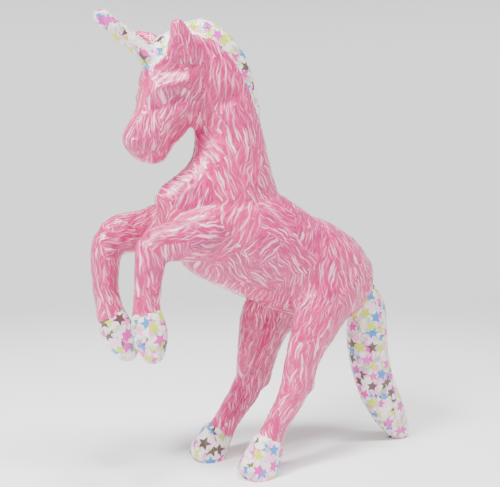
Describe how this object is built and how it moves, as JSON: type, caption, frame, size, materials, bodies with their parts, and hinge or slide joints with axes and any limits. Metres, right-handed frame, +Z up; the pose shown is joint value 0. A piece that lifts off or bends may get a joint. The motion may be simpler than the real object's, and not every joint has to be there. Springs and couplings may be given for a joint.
{
  "type": "papier-mache unicorn figure",
  "caption": "Rearing papier-mache unicorn figure that stands on its hind hooves and tail, with hollow moulded body shells, a straight horn and wire-cored legs.",
  "frame": {"origin": "centre of the figure's bounding box in X and Y, on the ground plane under its hind hooves", "axes": "+Z up, -Y the way the unicorn faces, +X towards the unicorn's left side"},
  "size_m": [0.0822, 0.2837, 0.3491],
  "materials": {
    "pink_paper": "glossy varnished paper, pink with pale tapering brush strokes, in overlapping torn patches",
    "star_paper": "glossy varnished white paper with scattered five-point stars in magenta, pale lilac, sky blue, yellow-green and brown",
    "keel_card": "matt brown cardboard",
    "rolled_paper": "matt tightly rolled paper",
    "steel_wire": "plain drawn wire"
  },
  "bodies": {
    "root": {"torso_shell_left": "pink_paper", "torso_shell_right": "pink_paper", "neck_shell_left": "pink_paper", "neck_shell_right": "pink_paper", "head_shell_left": "pink_paper", "head_shell_right": "pink_paper", "ear_left": "pink_paper", "ear_right": "pink_paper", "horn": "star_paper", "horn_peg": "rolled_paper", "mane_crest": "star_paper", "forelock": "star_paper", "tail": "star_paper", "forearm_left": "pink_paper", "forearm_right": "pink_paper", "fore_cannon_left": "pink_paper", "fore_cannon_right": "pink_paper", "fore_hoof_left": "star_paper", "fore_hoof_right": "star_paper", "haunch_left": "pink_paper", "haunch_right": "pink_paper", "hind_cannon_left": "pink_paper", "hind_cannon_right": "pink_paper", "hind_hoof_left": "star_paper", "hind_hoof_right": "star_paper", "keel_board": "keel_card", "shoulder_former": "keel_card", "hip_former": "keel_card", "foreleg_wire_left": "steel_wire", "foreleg_wire_right": "steel_wire", "hindleg_wire_left": "steel_wire", "hindleg_wire_right": "steel_wire", "tail_wire": "steel_wire"}
  },
  "joints": []
}
